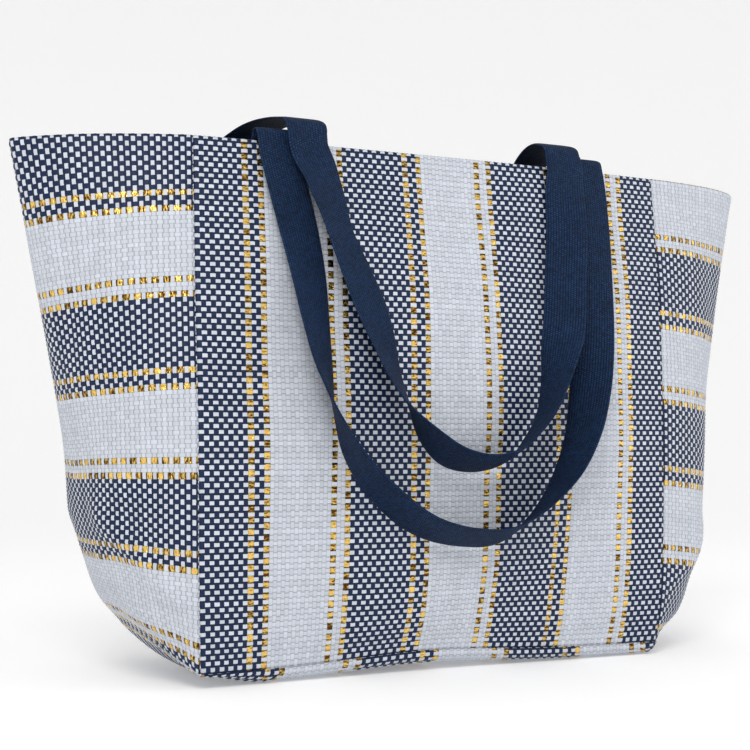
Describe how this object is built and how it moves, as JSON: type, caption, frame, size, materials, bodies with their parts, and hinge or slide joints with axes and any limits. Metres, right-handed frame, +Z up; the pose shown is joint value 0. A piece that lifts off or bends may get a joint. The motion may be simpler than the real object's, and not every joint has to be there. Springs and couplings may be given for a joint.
{
  "type": "tote bag",
  "caption": "Open-top woven tote with striped cloth panels, side gussets folded outwards, and two webbing handles that hang over its front.",
  "frame": {"origin": "on the ground under the middle of the whole object's box", "axes": "+Z up, -Y the front that the handles hang over, +X the bag's right seen from its front"},
  "size_m": [0.5804, 0.217, 0.3726],
  "materials": {
    "woven_tape": "satin",
    "binding": "matte",
    "webbing": "matte"
  },
  "bodies": {
    "bag": {"front_panel": "woven_tape", "back_panel": "woven_tape", "left_gusset": "woven_tape", "right_gusset": "woven_tape", "base_panel": "woven_tape", "rim_hem_front": "woven_tape", "rim_hem_back": "woven_tape", "rim_hem_left": "woven_tape", "rim_hem_right": "woven_tape", "seam_binding_front_left": "binding", "seam_binding_front_right": "binding", "seam_binding_back_left": "binding", "seam_binding_back_right": "binding", "base_binding_front": "binding", "base_binding_back": "binding", "base_binding_left": "binding", "base_binding_right": "binding", "front_handle_left_end": "webbing", "front_handle_right_end": "webbing", "back_handle_left_end": "webbing", "back_handle_right_end": "webbing"},
    "front_handle": {"front_handle_loop": "webbing"},
    "back_bridge": {"back_handle_left_bridge": "webbing", "back_handle_right_bridge": "webbing"},
    "back_drop": {"back_handle_loop": "webbing"}
  },
  "joints": [
    {"name": "front_handle_swing", "type": "hinge", "parent": "bag", "child": "front_handle", "pos_m": [0, -0.0267, 0.354], "axis": [-1, 0, 0], "range_deg": [0, 180]},
    {"name": "back_bridge_lift", "type": "hinge", "parent": "bag", "child": "back_bridge", "pos_m": [0, 0.0521, 0.357], "axis": [-1, 0, 0], "range_deg": [0, 90]},
    {"name": "back_drop_straighten", "type": "hinge", "parent": "back_bridge", "child": "back_drop", "pos_m": [0, -0.0276, 0.3615], "axis": [-1, 0, 0], "range_deg": [0, 90]}
  ],
  "couplings": [
    {"joint": "back_bridge_lift", "follows": "front_handle_swing", "ratio": 0.5},
    {"joint": "back_drop_straighten", "follows": "front_handle_swing", "ratio": 0.5}
  ]
}
